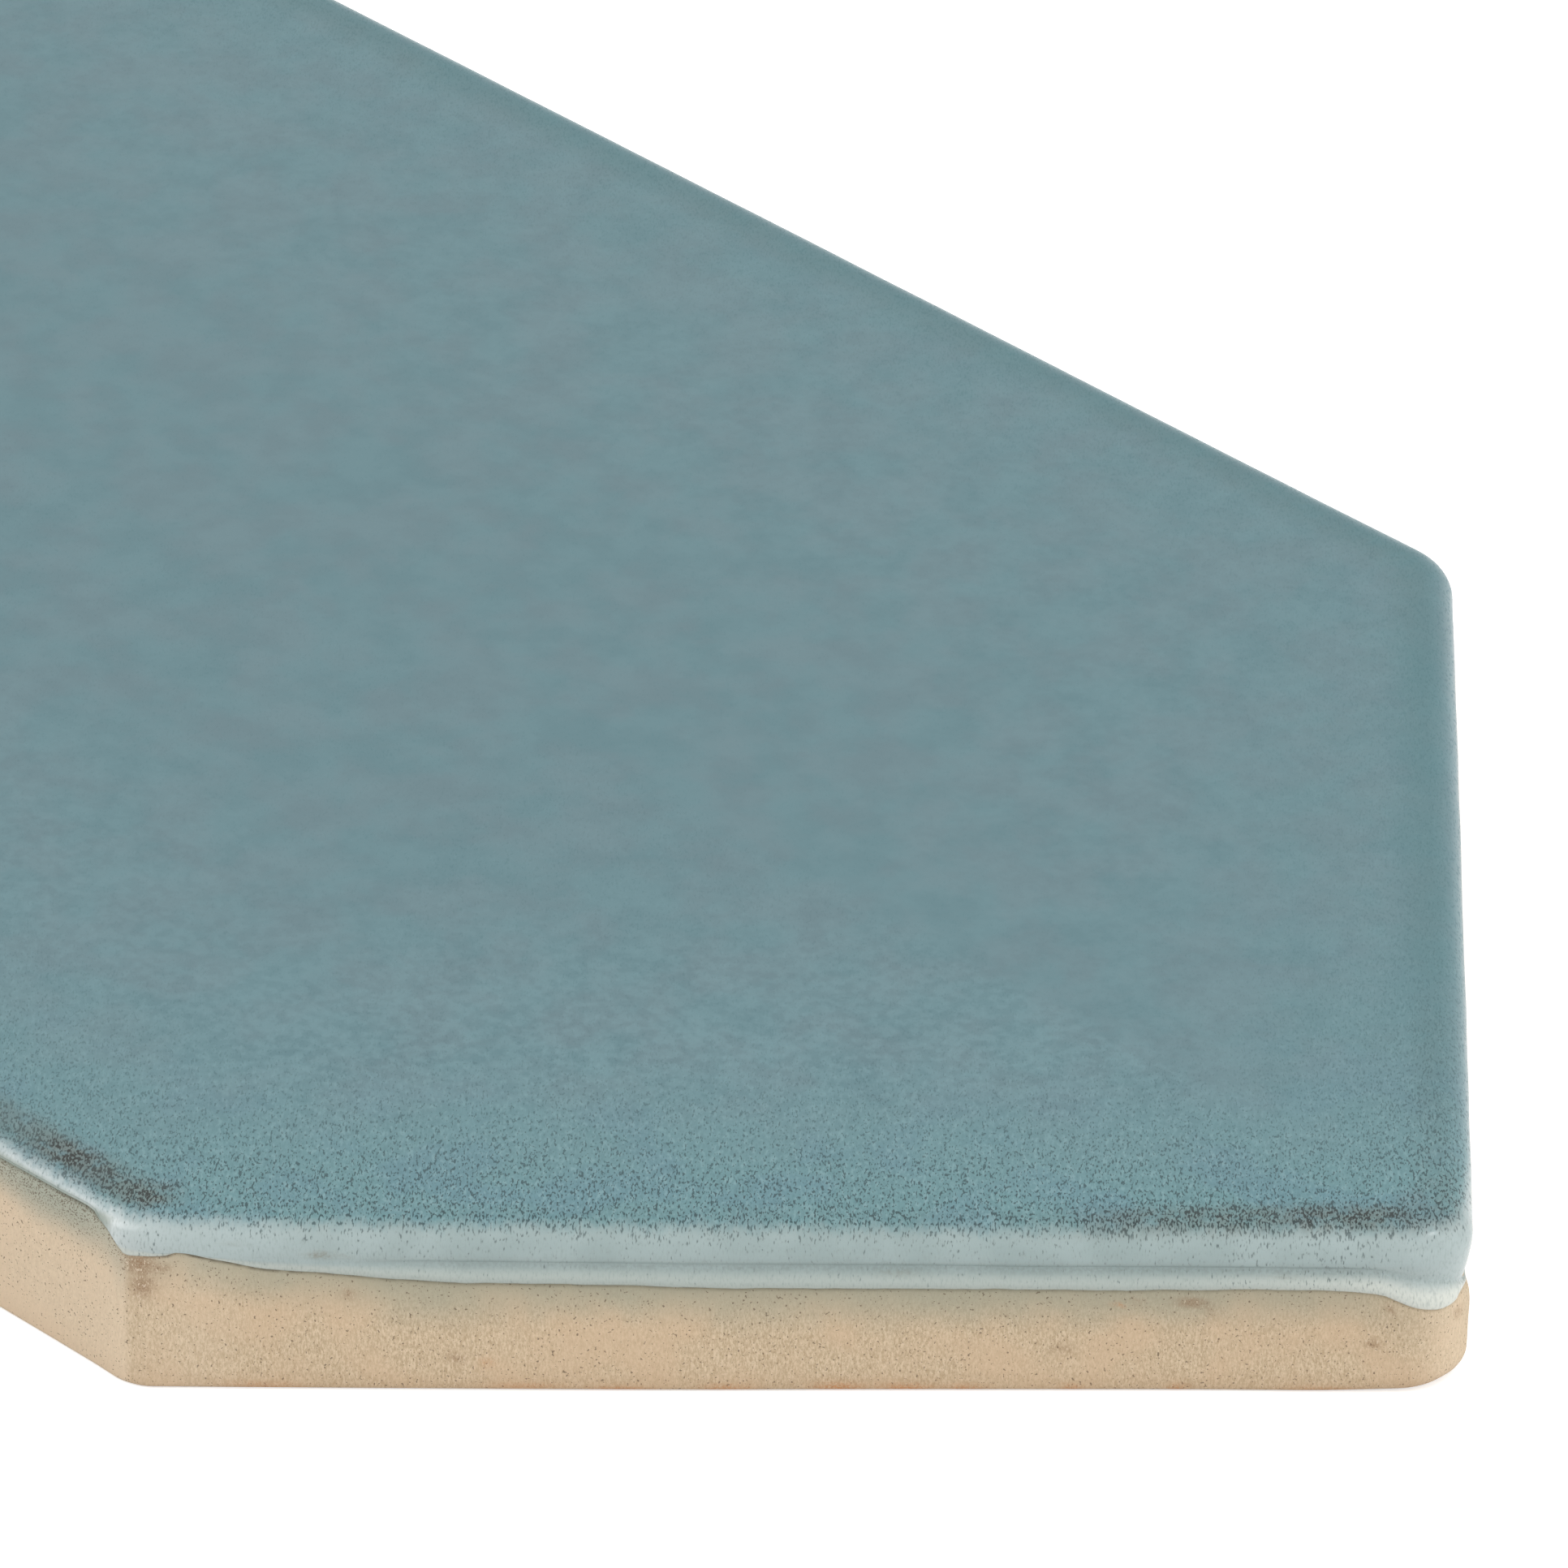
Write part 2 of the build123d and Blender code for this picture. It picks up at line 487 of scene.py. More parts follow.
class Outline:
    """Stations round the plan: place, outward normal and distance run, anticlockwise from the +X tip."""

    def __init__(self, step, shoulder):
        corners = np.array(
            [
                (sharp_tip_x, 0),
                (shoulder_x, half_width),
                (-shoulder_x, half_width),
                (-sharp_tip_x, 0),
                (-shoulder_x, -half_width),
                (shoulder_x, -half_width),
            ]
        )
        radii = [tip_radius, shoulder, shoulder] * 2
        ways = np.roll(corners, -1, axis=0) - corners
        angles = np.arctan2(ways[:, 1], ways[:, 0])
        points, normals, runs, arcs, self.corner_runs = [], [], [], [], []
        run = 0.0
        for i, radius in enumerate(radii):
            turn = (angles[i] - angles[i - 1]) % (2 * pi)
            start = angles[i - 1] - pi / 2
            bisector = start + turn / 2
            centre = corners[i] - radius / cos(turn / 2) * np.array([cos(bisector), sin(bisector)])
            arcs.append((*centre, cos(bisector), sin(bisector), cos(turn / 2), radius))
            arc = radius * turn
            count = 2 * ceil(arc / step / 2) + 4
            for k in range(count):
                angle = start + turn * k / count
                normal = np.array([cos(angle), sin(angle)])
                points.append(centre + radius * normal)
                normals.append(normal)
                runs.append(run + arc * k / count)
            self.corner_runs.append(run + arc / 2)
            run += arc
            normal = np.array([cos(start + turn), sin(start + turn)])
            begin = centre + radius * normal
            cut = radii[(i + 1) % 6] * tan(((angles[(i + 1) % 6] - angles[i]) % (2 * pi)) / 2)
            end = corners[(i + 1) % 6] - cut * ways[i] / np.linalg.norm(ways[i])
            straight = np.linalg.norm(end - begin)
            count = ceil(straight / step)
            for k in range(count):
                points.append(begin + (end - begin) * k / count)
                normals.append(normal)
                runs.append(run + straight * k / count)
            run += straight
        self.points = np.array(points)
        self.normals = np.array(normals)
        self.runs = np.array(runs)
        self.arcs = np.array(arcs)
        self.total = run

    def place(self, edge, share):
        """The distance run at a share of an edge, counted from the middle of one corner to the next."""
        ends = self.corner_runs + [self.corner_runs[0] + self.total]
        return ends[edge] + share * (ends[edge + 1] - ends[edge])

    def along(self, knots, runs=None, column=2):
        """A smooth closed curve through the knots, without overshoot, at each station."""
        runs = self.runs if runs is None else runs
        rows = sorted((self.place(k[0], k[1]) % self.total, k[column]) for k in knots)
        at, value = np.array(rows).T
        at = np.concatenate([at[-2:] - self.total, at, at[:2] + self.total])
        value = np.concatenate([value[-2:], value, value[:2]])
        gap = np.diff(at)
        rise = np.diff(value) / gap
        same = rise[:-1] * rise[1:] > 0
        slope = np.where(same, 2 * rise[:-1] * rise[1:] / np.where(same, rise[:-1] + rise[1:], 1), 0)
        slope = np.concatenate([[0], slope, [0]])
        i = np.searchsorted(at, runs, side="right") - 1
        t = (runs - at[i]) / gap[i]
        return (
            value[i] * (1 + 2 * t) * (1 - t) ** 2
            + value[i + 1] * t**2 * (3 - 2 * t)
            + slope[i] * gap[i] * t * (1 - t) ** 2
            - slope[i + 1] * gap[i] * t**2 * (1 - t)
        )

    def proud_of(self, other):
        """How far the stations stand out of the rounded corners of another outline."""
        rays = self.points[:, None] - other.arcs[:, 0:2]
        length = np.linalg.norm(rays, axis=2)
        in_corner = np.sum(rays * other.arcs[:, 2:4], axis=2) > length * other.arcs[:, 4]
        return np.where(in_corner, length - other.arcs[:, 5], 0).max(axis=1)

    def ring(self, offset):
        """The stations moved outwards by an offset, in plan."""
        return self.points + self.normals * np.reshape(offset, (-1, 1))

    def wander(self, size, seed):
        """Smooth noise along the outline, about -1 to 1, with features of the given size."""
        return ripple(np.column_stack([self.points, 0 * self.runs]), size, seed)


def ripple(points, size, seed):
    """Smooth noise at each point, about -1 to 1, with features of the given size."""
    shift = Vector((seed * 17.3, seed * 5.9, seed * 11.1))
    return np.array([noise.noise(Vector(p) / size + shift) for p in points])


def ease(t):
    t = np.clip(t, 0, 1)
    return t * t * (3 - 2 * t)


def inset_of(points):
    """Distance of points in plan from the nearest edge of the plan."""
    ax, ay = np.abs(points[:, 0]), np.abs(points[:, 1])
    return np.minimum(half_width - ay, (sharp_tip_x - ax - ay) / sqrt(2))


def grid_inside(spacing, inset):
    """A grid of points that lie at least an inset away from every edge."""
    xs = np.arange(-tile_length / 2, tile_length / 2 + spacing, spacing)
    ys = np.arange(-half_width, half_width + spacing, spacing)
    points = np.array([(x + (j % 2) * spacing / 2, y) for j, y in enumerate(ys) for x in xs])
    return points[inset_of(points) > inset]


def hem_height(outline):
    """Height of the glaze's lower hem, with the small unevenness of a poured glaze."""
    hem = outline.along(hem_knots)
    run_down = ease((high_hem - hem) / 1.5)
    uneven = 0.08 * outline.wander(6.0, 1)
    uneven = uneven + 0.05 * outline.wander(1.6, 2) + 0.03 * outline.wander(0.7, 9)
    return hem + uneven * (0.25 + 0.75 * run_down)


def clay_offset(outline, height, hem):
    """How far the bare clay's flank stands out from the plan, at a height under the hem."""
    draft = tan(foot_draft) * (waist_height - np.minimum(height, waist_height))
    radius = outline.along(rim_knots)
    into_roll = np.clip(height - (tile_thickness - radius), 0, radius)
    roll = radius - np.sqrt(radius**2 - into_roll**2)
    recess = outline.along(lip_knots, column=3) * np.exp(-np.maximum(hem - height, 0) / 0.4)
    inset, foot_inset = outline.along(flank_knots), outline.along(flank_knots, column=3)
    return -draft - roll - recess - foot_inset - (inset - foot_inset) * (height / hem) ** 2


def stain_at(outline, stains, height):
    """How strongly the stains mark each station at a height."""
    mark = np.zeros(len(outline.runs))
    half = outline.total / 2
    for edge, share, middle, half_length, half_height, strength in stains:
        run = (outline.runs - outline.place(edge, share) + half) % outline.total - half
        blot = (run / half_length) ** 2 + ((height - middle) / half_height) ** 2
        mark = np.maximum(mark, strength * np.exp(-blot))
    return mark


class Shell:
    """Gathers rings and fills into one mesh, with named values on its vertices."""

    def __init__(self, outline):
        self.outline = outline
        self.count = len(outline.points)
        self.vertices, self.faces, self.values = [], [], {}
        self.size = 0

    def add(self, points, **values):
        """Adds vertices, and gives the index of the first."""
        first = self.size
        self.vertices.append(np.asarray(points, float))
        self.size += len(points)
        for name, value in values.items():
            self.values.setdefault(name, []).append(np.broadcast_to(value, len(points)))
        return first

    def ring(self, offset, height, **values):
        points = np.column_stack([self.outline.ring(offset), np.broadcast_to(height, self.count)])
        return self.add(points, **values)

    def band(self, a, b):
        """Quads between two rings."""
        for i in range(self.count):
            j = (i + 1) % self.count
            self.faces.append((a + i, b + i, b + j, a + j))

    def build(self, name, material):
        mesh = bpy.data.meshes.new(name)
        points = np.vstack(self.vertices) * MM
        mesh.from_pydata(points.tolist(), [], [tuple(map(int, f)) for f in self.faces])
        for key, parts in self.values.items():
            layer = mesh.attributes.new(key, "FLOAT", "POINT")
            layer.data.foreach_set("value", np.concatenate(parts).astype(np.float32))
        mesh.materials.append(material)
        mesh.polygons.foreach_set("use_smooth", [True] * len(mesh.polygons))
        mesh.update()
        piece = bpy.data.objects.new(name, mesh)
        bpy.context.collection.objects.link(piece)
        return piece


def fill(loops, loose):
    """Triangles over the plan inside closed loops of points, with loose points among them."""
    points = np.vstack([*loops, loose])
    edges, first = [], 0
    for loop in loops:
        n = len(loop)
        edges += [(first + i, first + (i + 1) % n) for i in range(n)]
        first += n
    _, _, faces, ids, _, _ = delaunay_2d_cdt([Vector(p) for p in points], edges, [], 1, 1e-7)
    source = [i[0] for i in ids]
    return [tuple(source[v] for v in face) for face in faces]


def glaze_coat(material):
    """The glaze: face, rolled rim, fold, lip, and the hidden inside that sits on the clay."""
    outline = Outline(glaze_step, shoulder_radius)
    shell = Shell(outline)
    hem = hem_height(outline)
    fold_depth = outline.along(fold_knots, column=3)
    rim = outline.along(rim_knots)
    turn = np.arccos(np.clip((hem + roll_gap - tile_thickness + rim) / rim, 0, 1))
    rim_end = tile_thickness - rim + rim * np.cos(turn)
    rim_offset = rim * np.sin(turn) - rim
    drop = rim_end - hem
    lip = outline.along(lip_knots)
    fold = outline.along(fold_knots) + 0.05 * outline.wander(5.0, 3)
    fold = np.clip(fold, hem + np.minimum(0.08 + 1.6 * lip, 0.35 * drop), rim_end - 0.2 * drop)
    belly = hem + np.minimum(lip_round, 0.4 * (fold - hem))
    foot = clay_offset(outline, hem, hem)
    belly_offset = foot + lip
    scorch = np.clip(outline.along(scorch_knots) * (1 + 0.5 * outline.wander(3.0, 4)), 0, 1)
    station = {
        "white_and_highlight": outline.along(white_and_lit_knots),
        "lip": outline.along(white_and_lit_knots, column=3),
        "pale": outline.along(pale_knots),
        "speckle": outline.along(speck_knots),
        "thin": ease((hem - high_hem) / 0.5),
        "scorch": scorch,
        "scorch_inset": outline.along(scorch_knots, column=3),
    }
    wrinkle = outline.along(wrinkle_knots)
    wrinkle_depth = outline.along(wrinkle_knots, column=3)
    sway = 0.03 * outline.wander(4.0, 5)

    def ring(offset, height):
        """One ring of the outer skin, with what the material needs to know there."""
        inset = -np.minimum(offset, 0)
        crease = fold_depth * np.exp(-(((height - fold + 0.12) / 0.16) ** 2)) / 0.24
        tuck = wrinkle_depth * np.exp(-(((height - wrinkle) / 0.1) ** 2))
        return shell.ring(
            offset - tuck + sway * ease((tile_thickness - height) / 0.5),
            height,
            reach=inset - (tile_thickness - height),
            lap=(height - hem) / (fold - hem),
            crease=crease,
            stain=stain_at(outline, glaze_stains, height),
            **station,
        )

    rings = []
    for inset in (ring_inset, flat_inset):
        rings.append(ring(np.full(shell.count, -inset), np.full(shell.count, tile_thickness)))
    for t in np.linspace(0, 1, rim_rings):
        rings.append(ring(rim * np.sin(turn * t) - rim, tile_thickness - rim + rim * np.cos(turn * t)))
    for t in np.linspace(0, 1, fold_rings)[1:]:
        rings.append(ring(rim_offset - fold_depth * t**1.5, rim_end + (fold - rim_end) * t))
    inmost = rim_offset - fold_depth
    for t in np.linspace(0, 1, lip_rings)[1:]:
        rings.append(ring(inmost + (belly_offset - inmost) * ease(t), fold + (belly - fold) * t))
    for angle in np.linspace(0, pi / 2, lip_round_rings)[1:]:
        offset = belly_offset - (belly_offset - foot + 0.02) * (1 - cos(angle))
        rings.append(ring(offset, belly + (hem - belly) * sin(angle)))
    ceiling = tile_thickness - glaze_thickness
    hidden_foot = hem + 0.5 * np.minimum(0.3, ceiling - hem)
    rings.append(ring(np.full(shell.count, -skin_depth), hidden_foot))
    rings.append(ring(np.full(shell.count, -hidden_inset), np.full(shell.count, ceiling)))
    for a, b in zip(rings, rings[1:]):
        shell.band(a, b)

    # The face inside the rings, almost flat
    loose = grid_inside(face_grid, ring_inset + 0.4 * face_grid)
    inset = inset_of(loose)
    edge = outline.ring(-ring_inset)
    nearest = np.array([np.argmin(np.sum((outline.points - p) ** 2, axis=1)) for p in loose])
    swell = 0.04 * ripple(np.column_stack([loose, 0 * inset]), 22.0, 6) * ease((inset - ring_inset) / 6)
    first = shell.add(
        np.column_stack([loose, tile_thickness + swell]),
        reach=inset,
        lap=10.0,
        crease=0.0,
        stain=0.0,
        **{name: value[nearest] for name, value in station.items()},
    )
    index = np.concatenate([rings[0] + np.arange(shell.count), first + np.arange(len(loose))])
    shell.faces += [tuple(index[list(f)]) for f in fill([edge], loose)]

    # The hidden underside
    under = fill([outline.ring(-hidden_inset)], np.empty((0, 2)))
    shell.faces += [tuple(rings[-1] + v for v in reversed(f)) for f in under]
    return shell.build("glaze_coat", material)


def groove_loops():
    """The mouth of each groove of the key back, in plan, as points along its two long sides."""
    pitch = groove_width + rib_width
    reach = sharp_tip_x - back_border * sqrt(2)
    for k in range(groove_count):
        middle = (k - (groove_count - 1) / 2) * pitch
        sides = []
        for y in (middle - groove_width / 2, middle + groove_width / 2):
            x = np.linspace(-1, 1, groove_points) * (reach - abs(y))
            sides.append(np.column_stack([x, np.full(groove_points, y)]))
        yield sides


def clay_body(material):
    """The bare clay: flank, worn arris and ribbed back, and the hidden top under the glaze."""
    outline = Outline(clay_step, clay_shoulder_radius)
    shell = Shell(outline)
    hem = hem_height(outline)
    top = tile_thickness - glaze_thickness
    uneven = 0.025 * outline.wander(2.5, 7)
    proud = outline.proud_of(Outline(clay_step, shoulder_radius))
    station = {
        "painted_light_and_flecks": outline.along(painted_light_fleck_knots),
        "fume": outline.along(fume_knots),
        "under_hem_line": outline.along(fume_knots, column=3),
    }

    def ring(offset, height):
        return shell.ring(
            offset,
            height,
            under=hem - height,
            **station,
            brown=stain_at(outline, brown_stains, height),
            orange=stain_at(outline, orange_stains, height),
        )

    hidden = hem + 0.6 * np.minimum(0.3, top - hem)
    rings = [ring(seat_lap - hidden_inset - proud, np.full(shell.count, top))]
    rings.append(ring(seat_lap - skin_depth - proud, hidden))
    arris = outline.along(arris_knots)
    for t in np.linspace(0, 1, flank_rings):
        height = hem + (arris - hem) * t
        grain = 0.02 * ripple(np.column_stack([outline.points, height]), 1.1, 8)
        fade = ease(t / 0.1) * ease((1 - t) / 0.1)
        tuck = proud * (1 - t) ** 6  # the corner is flush with the glaze at the hem
        rings.append(ring(clay_offset(outline, height, hem) - tuck + (grain + uneven) * fade, height))
    foot = clay_offset(outline, arris, hem)
    for angle in np.linspace(0, pi / 2, arris_rings)[1:]:
        rings.append(ring(foot - arris * (1 - cos(angle)), arris * (1 - sin(angle))))
    for a, b in zip(rings, rings[1:]):
        shell.band(a, b)
    cover = fill([outline.ring(seat_lap - hidden_inset - proud)], np.empty((0, 2)))
    shell.faces += [tuple(rings[0] + v for v in f) for f in cover]

    # The back: one plane with the grooves' mouths cut out of it
    plain = dict.fromkeys(["painted_light_and_flecks", "fume", "under_hem_line", "brown", "orange"], 0.0)
    plain["under"] = tile_thickness
    border = outline.ring(foot - arris)
    mouths, starts = [], []
    for sides in groove_loops():
        mouth = np.vstack([sides[0], sides[1][::-1]])
        starts.append(shell.add(np.column_stack([mouth, np.zeros(len(mouth))]), **plain))
        mouths.append(mouth)
    loose = grid_inside(back_grid, 1.5)
    pitch = groove_width + rib_width
    across = np.abs((loose[:, 1] + groove_count * pitch / 2) % pitch - pitch / 2)
    inside = (across < groove_width / 2 + 0.6) & (inset_of(loose) > back_border - 0.6)
    loose = loose[~inside]
    first = shell.add(np.column_stack([loose, np.zeros(len(loose))]), **plain)
    index = np.concatenate(
        [rings[-1] + np.arange(shell.count)]
        + [start + np.arange(len(mouth)) for start, mouth in zip(starts, mouths)]
        + [first + np.arange(len(loose))]
    )
    points = np.vstack([border, *mouths, loose])
    for face in fill([border, *mouths], loose):
        middle = points[list(face)].mean(axis=0)
        in_groove = abs((middle[1] + groove_count * pitch / 2) % pitch - pitch / 2) < groove_width / 2
        if not (in_groove and inset_of(middle[None])[0] > back_border):
            shell.faces.append(tuple(index[v] for v in reversed(face)))

    # The grooves' walls and floors
    for start, mouth in zip(starts, mouths):
        n = len(mouth)
        middle = mouth[:, 1].mean()
        floor = mouth.copy()
        floor[:, 1] -= np.sign(mouth[:, 1] - middle) * groove_draft
        along = np.abs(mouth[:, 0])
        at_end = along > along.max() - (groove_width + rib_width)
        floor[:, 0] -= np.sign(mouth[:, 0]) * groove_draft * at_end
        base = shell.add(np.column_stack([floor, np.full(n, groove_depth)]), **plain)
        for i in range(n):
            j = (i + 1) % n
            shell.faces.append((start + i, base + i, base + j, start + j))
        for i in range(n // 2 - 1):
            shell.faces.append((base + i, base + n - 1 - i, base + n - 2 - i, base + i + 1))
    return shell.build("clay_body", material)


class Nodes:
    """The node tree of a material or world. Each call adds a node, and takes sockets or values."""

    def __init__(self, owner, shader="Principled BSDF"):
        owner.use_nodes = True
        self.owner = owner
        self.tree = owner.node_tree
        self.inputs = self.tree.nodes[shader].inputs

    def add(self, kind, inputs, output=0, **settings):
        node = self.tree.nodes.new(kind)
        for key, value in settings.items():
            setattr(node, key, value)
        for key, value in inputs.items():
            self.feed(node.inputs[key], value)
        return node.outputs[output]

    def feed(self, socket, value):
        if isinstance(value, bpy.types.NodeSocket):
            self.tree.links.new(value, socket)
        else:
            socket.default_value = value

    def math(self, operation, a, b=0.0, clamp=False):
        return self.add("ShaderNodeMath", {0: a, 1: b}, operation=operation, use_clamp=clamp)

    def times(self, first, *others):
        for other in others:
            first = self.math("MULTIPLY", first, other)
        return first

    def ramp(self, value, start, end, low=0.0, high=1.0):
        """Runs smoothly from low to high while the value goes from start to end."""
        inputs = {"Value": value, "From Min": start, "From Max": end, "To Min": low, "To Max": high}
        return self.add("ShaderNodeMapRange", inputs, interpolation_type="SMOOTHSTEP")

    def mix(self, share, a, b):
        return self.add("ShaderNodeMix", {0: share, 6: a, 7: b}, output=2, data_type="RGBA")

    def value(self, name):
        return self.add("ShaderNodeAttribute", {}, output=2, attribute_name=name)

    def noise(self, place, size, detail=2.0, roughness=0.5):
        """Noise from 0 to 1 with features of about the given size."""
        inputs = {"Vector": place, "Scale": 1 / size, "Detail": detail, "Roughness": roughness}
        return self.add("ShaderNodeTexNoise", inputs)

    def drawn(self, place, turn, stretch):
        """The place turned about +Z and then drawn out by a stretch along each of its axes."""
        inputs = {"Vector": place, "Rotation": (0, 0, turn), "Scale": stretch}
        return self.add("ShaderNodeMapping", inputs, vector_type="TEXTURE")

    def place(self):
        """The point on the tile, in millimetres."""
        spot = self.add("ShaderNodeTexCoord", {}, output=3)
        inputs = {0: spot, 1: (1 / MM, 1 / MM, 1 / MM)}
        return self.add("ShaderNodeVectorMath", inputs, operation="MULTIPLY")

    def bump(self, height, distance, strength):
        inputs = {"Height": height, "Distance": distance * MM, "Strength": strength}
        return self.add("ShaderNodeBump", inputs)


def srgb(red, green, blue):
    """A colour given in 0 to 255 steps, as linear light."""
    parts = [c / 255 for c in (red, green, blue)]
    return tuple(c / 12.92 if c <= 0.04045 else ((c + 0.055) / 1.055) ** 2.4 for c in parts) + (1.0,)


def glaze_field(n, place, drawn, near):
    """The face's colour: grey and teal clouds, brighter and grainy towards the edges with specks."""
    teal, grey = srgb(89, 123, 130), srgb(95, 122, 129)
    lit, patch_tint = srgb(118, 152, 158), srgb(122, 156, 162)
    green_fringe, blue_fringe = srgb(102, 141, 145), srgb(99, 137, 145)
    deep_teal = srgb(72, 116, 122)
    light_grain, dark_grain = srgb(136, 168, 173), srgb(80, 114, 121)
    reach, speckle = n.value("reach"), n.value("speckle")

    field = n.mix(n.ramp(n.noise(place, 4.0, 3.0, 0.6), 0.36, 0.64), teal, grey)
    field = n.mix(n.ramp(n.noise(place, 2.6, 3.0, 0.6), 0.36, 0.64, 0.0, 0.16), field, lit)
    patches = n.times(
        n.ramp(n.noise(place, 0.55, 2.0), 0.35, 0.65, 0.0, 0.22),
        n.ramp(reach, 30.0, 12.0, 0.15, 1.4),
        n.ramp(speckle, 0.0, 1.0, 0.3, 1.0),
    )
    field = n.mix(patches, field, patch_tint)
    fringe = n.mix(n.ramp(n.noise(place, 3.0, 1.0), 0.45, 0.65), green_fringe, blue_fringe)
    colour = n.mix(n.times(n.ramp(reach, 14.0, 1.5), speckle), field, fringe)

    # Deeper along the edges that have no specks
    smooth = n.math("SUBTRACT", 1.0, speckle)
    deep = n.times(n.ramp(reach, 3.4, 1.4, 0.0, 0.55), smooth, n.ramp(reach, 1.1, 0.2, 1.0, 0.55))
    colour = n.mix(deep, colour, deep_teal)
    mottle = n.noise(drawn, 0.13, 1.0)
    colour = n.mix(n.times(n.ramp(mottle, 0.5, 0.75, 0.0, 0.5), near), colour, light_grain)
    return n.mix(n.times(n.ramp(mottle, 0.5, 0.25, 0.0, 0.4), near), colour, dark_grain)


def rim_level(n, place, drawn):
    """Distance inwards from the pale rim's ragged upper border."""
    ragged = n.times(n.math("SUBTRACT", n.noise(drawn, 0.2, 2.0), 0.5), 0.7)
    bays = n.times(n.math("SUBTRACT", n.noise(place, 1.1, 2.0), 0.5), n.value("speckle"))
    ragged = n.math("ADD", ragged, n.times(bays, 0.8))
    return n.math("SUBTRACT", n.math("ADD", n.value("reach"), ragged), n.value("pale"))


def rim_colour(n, place, grain):
    """The pale rim, and the lip under its fold; the white along the near rim is partly a painted
    highlight, and the white lip at the tips is partly painted light.
    """
    pale_rim, white_rim_and_highlight, rim_patch = srgb(148, 164, 163), srgb(214, 220, 219), srgb(184, 198, 198)
    grey_lip, white_lip_and_light = srgb(164, 174, 169), srgb(216, 218, 209)
    rim_grain = srgb(140, 152, 148)
    # Painted highlight: the white along the near rim stands partly for a highlight on its roll
    rim = n.mix(n.value("white_and_highlight"), pale_rim, white_rim_and_highlight)
    rim = n.mix(n.ramp(n.noise(place, 2.4, 2.0), 0.35, 0.65, 0.0, 0.18), rim, rim_patch)
    # The whiter lip at the tips is partly painted light, where light falls strongly on it
    rim = n.mix(n.ramp(n.value("lap"), 0.95, 0.4), rim, n.mix(n.value("lip"), grey_lip, white_lip_and_light))
    return n.mix(n.ramp(grain, 0.45, 0.7, 0.0, 0.3), rim, rim_grain)


def glaze_material():
    film_tint, scorch_tint = srgb(140, 150, 139), srgb(102, 103, 92)
    speck_ink, scorch_ink = srgb(30, 50, 54), srgb(24, 22, 16)
    fold_grit, stain_tint = srgb(112, 120, 110), srgb(126, 121, 104)
    n = Nodes(bpy.data.materials.new("speckled_glaze"))
    place = n.place()
    reach, white_and_highlight = n.value("reach"), n.value("white_and_highlight")
    drawn = n.drawn(place, pi / 4, (1.0, 2.8, 2.8))  # specks run out across the front tip edge
    grain = n.noise(drawn, 0.078, 1.0, 0.45)
    near = n.times(n.ramp(reach, 16.0, 1.5, 0.1, 1.0), n.value("speckle"))
    level = rim_level(n, place, drawn)
    broken = n.ramp(level, 1.2, -0.4)  # where the glaze breaks to the pale rim
    colour = n.mix(broken, glaze_field(n, place, drawn, near), rim_colour(n, place, grain))
    film = n.times(n.ramp(reach, 0.4, -0.02, 0.0, 0.85), n.value("thin"))
    colour = n.mix(film, colour, film_tint)

    # Brown scorch: a band inside the rim, broken up
    off_band = n.math("ABSOLUTE", n.math("SUBTRACT", reach, n.value("scorch_inset")))
    gaps = n.ramp(n.noise(place, 0.6, 1.0), 0.3, 0.55, 0.5, 1.0)
    scorch = n.times(n.value("scorch"), n.ramp(off_band, 1.5, 0.3), gaps)
    colour = n.mix(n.times(scorch, 0.66), colour, scorch_tint)

    # Specks, thick near the edge and in the scorch, sparse over the field and on the pale rim
    bar = n.ramp(reach, 1.0, 12.0, 0.55, 0.6)
    eased = n.ramp(n.value("scorch"), 0.4, 1.0, 1.0, 0.35)
    bar = n.math("ADD", bar, n.times(n.ramp(level, 0.7, -1.6, 0.0, 0.15), eased))
    bar = n.math("ADD", bar, n.times(white_and_highlight, n.ramp(level, 0.7, -0.1, 0.0, 0.15)))
    bar = n.math("SUBTRACT", bar, n.times(scorch, 0.115))
    specks = n.ramp(n.math("SUBTRACT", grain, bar), -0.02, 0.11)
    depth = n.times(
        n.math("MAXIMUM", near, scorch),
        n.ramp(scorch, 0.0, 1.0, 0.79, 0.96),
        n.ramp(level, 0.9, -0.1, 1.0, 0.75),
    )
    colour = n.mix(n.times(specks, depth), colour, n.mix(scorch, speck_ink, scorch_ink))

    # Grey grains in the fold, and a stain here and there
    grit = n.noise(place, 0.15, 1.0)
    creased = n.times(n.value("crease"), n.ramp(grit, 0.35, 0.65, 0.05, 0.35))
    colour = n.mix(creased, colour, fold_grit)
    stained = n.times(n.value("stain"), n.ramp(grit, 0.35, 0.65, 0.3, 0.8))
    colour = n.mix(stained, colour, stain_tint)

    n.feed(n.inputs["Base Color"], colour)
    satin = n.ramp(specks, 0.0, 1.0, 0.3, 0.45)
    n.feed(n.inputs["Roughness"], n.math("SUBTRACT", satin, n.times(broken, 0.1)))
    n.inputs["IOR"].default_value = 1.45
    n.inputs["Specular IOR Level"].default_value = 0.4
    dimples = n.math("SUBTRACT", n.noise(place, 0.9, 1.0), n.times(grain, 0.15))
    n.feed(n.inputs["Normal"], n.bump(dimples, 0.03, 0.4))
    return n.owner


